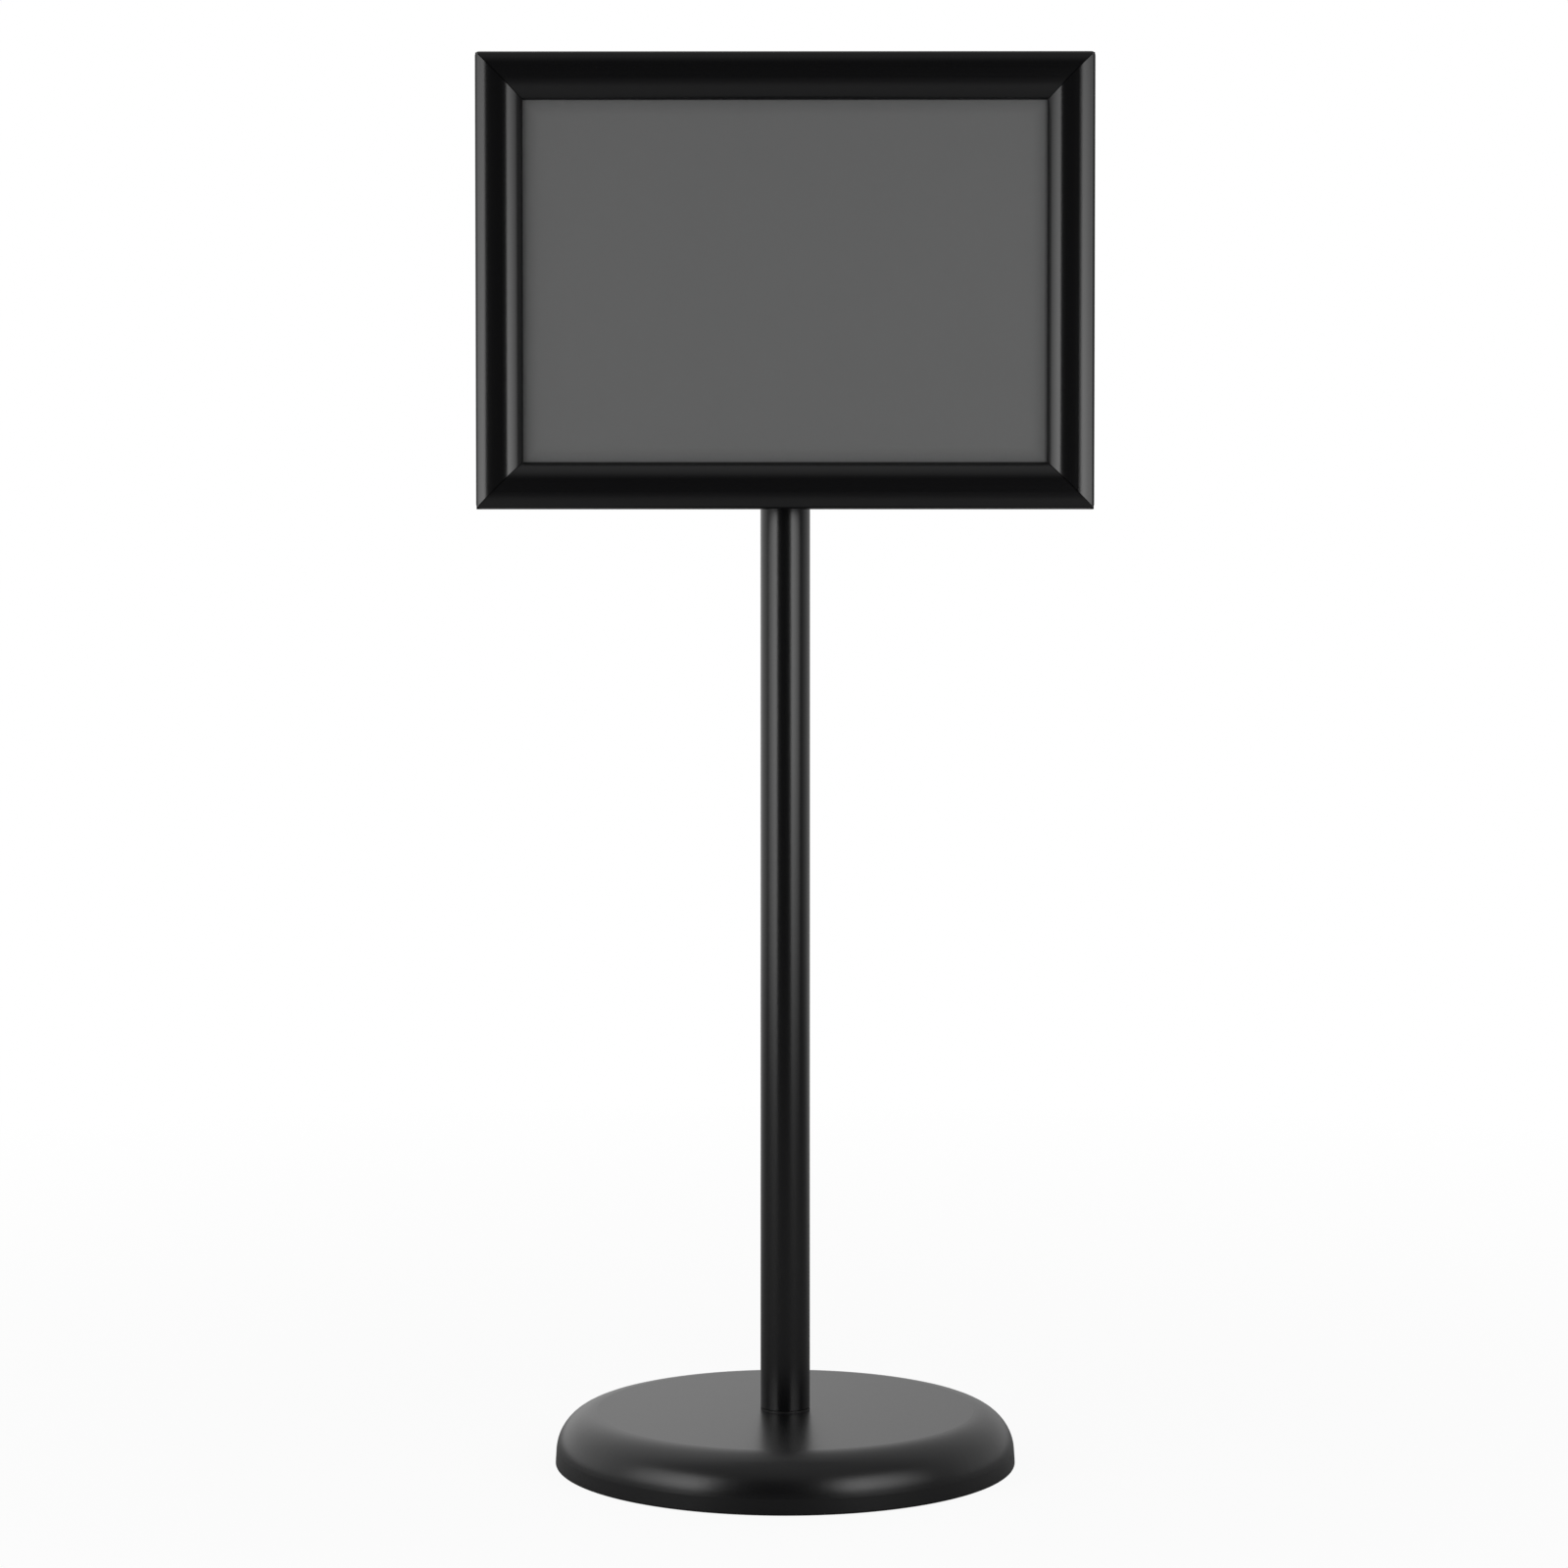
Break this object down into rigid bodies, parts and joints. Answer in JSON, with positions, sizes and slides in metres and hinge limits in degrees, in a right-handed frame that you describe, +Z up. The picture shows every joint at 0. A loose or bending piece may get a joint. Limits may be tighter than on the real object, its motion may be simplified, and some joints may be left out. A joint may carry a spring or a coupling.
{
  "type": "sign stand",
  "caption": "Floor sign stand with a tilting and turning snap frame for a landscape sheet, on a round post and a weighted round base.",
  "frame": {"origin": "centre of the base's underside, on the floor", "axes": "+Z up along the post; the sign faces -Y; +X to the right seen from the front"},
  "size_m": [0.329, 0.2508, 0.761],
  "materials": {
    "black_powder_coat": "satin black powder coat on steel",
    "black_aluminium": "satin black powder coat on extruded aluminium",
    "black_die_cast": "black painted die casting",
    "cast_iron": "sand cast, primed",
    "rubber": "matt",
    "black_nylon": "moulded",
    "white_nylon": "moulded",
    "black_abs": "fine grained moulding",
    "zinc_steel": "bright zinc plate",
    "galvanised_steel": "galvanised",
    "spring_steel": "blued spring strip",
    "brass": "turned",
    "grey_polystyrene": "fine matt sheet",
    "grey_card": "plain uncoated card",
    "clear_pvc": "clear anti-glare sheet"
  },
  "bodies": {
    "stand": {"base_cover": "black_powder_coat", "base_weight": "cast_iron", "base_pad": "rubber", "base_bolt": "zinc_steel", "base_washer": "zinc_steel", "base_lock_washer": "zinc_steel", "foot_ring": "black_nylon", "post_plug": "zinc_steel", "post_tube": "black_powder_coat", "post_head": "black_die_cast"},
    "yoke": {"tilt_yoke": "black_powder_coat", "tilt_bolt": "zinc_steel", "tilt_washers": "white_nylon", "clamp_washer": "zinc_steel"},
    "knob": {"clamp_knob": "black_abs", "knob_insert": "brass"},
    "frame": {"swivel_bolt": "zinc_steel", "swivel_washer": "white_nylon", "swivel_spring_washer": "zinc_steel", "swivel_nut": "zinc_steel", "mounting_plate": "black_powder_coat", "plate_screws": "zinc_steel", "plate_nuts": "zinc_steel", "back_panel": "grey_polystyrene", "insert_sheet": "grey_card", "clear_cover": "clear_pvc", "corner_keys": "galvanised_steel", "corner_screws": "zinc_steel", "snap_springs": "spring_steel", "fixed_rail_bottom": "black_aluminium", "fixed_rail_left": "black_aluminium", "fixed_rail_top": "black_aluminium", "fixed_rail_right": "black_aluminium"},
    "bottom_rail": {"snap_rail_bottom": "black_aluminium"},
    "left_rail": {"snap_rail_left": "black_aluminium"},
    "top_rail": {"snap_rail_top": "black_aluminium"},
    "right_rail": {"snap_rail_right": "black_aluminium"}
  },
  "joints": [
    {"name": "tilt", "type": "hinge", "parent": "stand", "child": "yoke", "pos_m": [0, 0, 0.64], "axis": [-1, 0, 0], "range_deg": [0, 90]},
    {"name": "clamp_knob", "type": "hinge", "parent": "yoke", "child": "knob", "pos_m": [0, 0, 0.64], "axis": [1, 0, 0], "range_deg": [0, 180]},
    {"name": "swivel", "type": "hinge", "parent": "yoke", "child": "frame", "pos_m": [0, -0.0205, 0.64], "axis": [0, 1, 0], "range_deg": [0, 90]},
    {"name": "open_bottom_rail", "type": "hinge", "parent": "frame", "child": "bottom_rail", "pos_m": [0, -0.0368, 0.52158], "axis": [1, 0, 0], "range_deg": [0, 90]},
    {"name": "open_left_rail", "type": "hinge", "parent": "frame", "child": "left_rail", "pos_m": [-0.16192, -0.0368, 0.64], "axis": [0, 0, -1], "range_deg": [0, 90]},
    {"name": "open_top_rail", "type": "hinge", "parent": "frame", "child": "top_rail", "pos_m": [0, -0.0368, 0.75842], "axis": [-1, 0, 0], "range_deg": [0, 90]},
    {"name": "open_right_rail", "type": "hinge", "parent": "frame", "child": "right_rail", "pos_m": [0.16192, -0.0368, 0.64], "axis": [0, 0, 1], "range_deg": [0, 90]}
  ]
}
